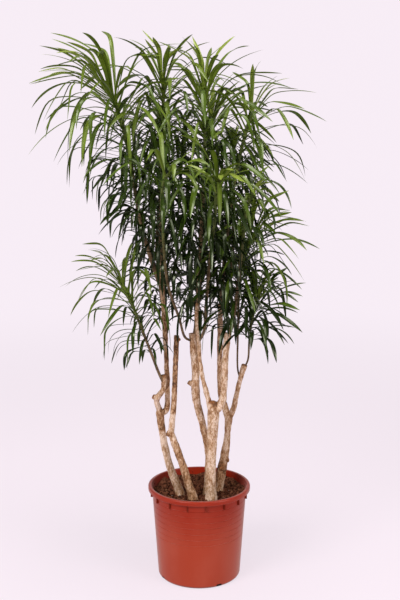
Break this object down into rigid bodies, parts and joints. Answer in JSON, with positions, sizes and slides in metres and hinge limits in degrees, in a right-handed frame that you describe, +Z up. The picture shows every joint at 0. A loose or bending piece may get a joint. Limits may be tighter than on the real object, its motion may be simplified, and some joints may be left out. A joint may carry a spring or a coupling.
{
  "type": "potted anita dracaena",
  "caption": "Tall potted houseplant: bare branching canes rise from the soil and carry leafy heads of long narrow arching leaves, in a round tapered plastic nursery pot.",
  "frame": {"origin": "centre of the pot's flat underside, on the floor", "axes": "+Z up, -Y towards the front of the plant as pictured, +X to its right"},
  "size_m": [0.8446, 0.8353, 1.6568],
  "materials": {
    "pot": "moulded terracotta-red plastic, satin",
    "soil": "loose damp peat",
    "bark": "pale tan bark with darker leaf scars",
    "leaf": "smooth glossy green leaf"
  },
  "bodies": {
    "root": {"pot": "pot", "soil": "soil", "cane_left": "bark", "bough_left_short": "bark", "bough_left_tall": "bark", "cane_slim": "bark", "cane_front": "bark", "bough_front_left": "bark", "bough_front_right": "bark", "cane_middle": "bark", "cane_right": "bark", "bough_right_inner": "bark", "bough_right_outer": "bark", "foliage_top_left": "leaf", "foliage_top_middle_left": "leaf", "foliage_top_middle": "leaf", "foliage_top_right": "leaf", "foliage_front_left": "leaf", "foliage_front_middle": "leaf", "foliage_front_right": "leaf", "foliage_right": "leaf", "foliage_low_left": "leaf", "foliage_low_right": "leaf", "foliage_low_middle": "leaf", "foliage_back_left": "leaf", "foliage_back_middle": "leaf", "foliage_back_right": "leaf", "foliage_low_back_right": "leaf", "foliage_low_back_left": "leaf"}
  },
  "joints": []
}
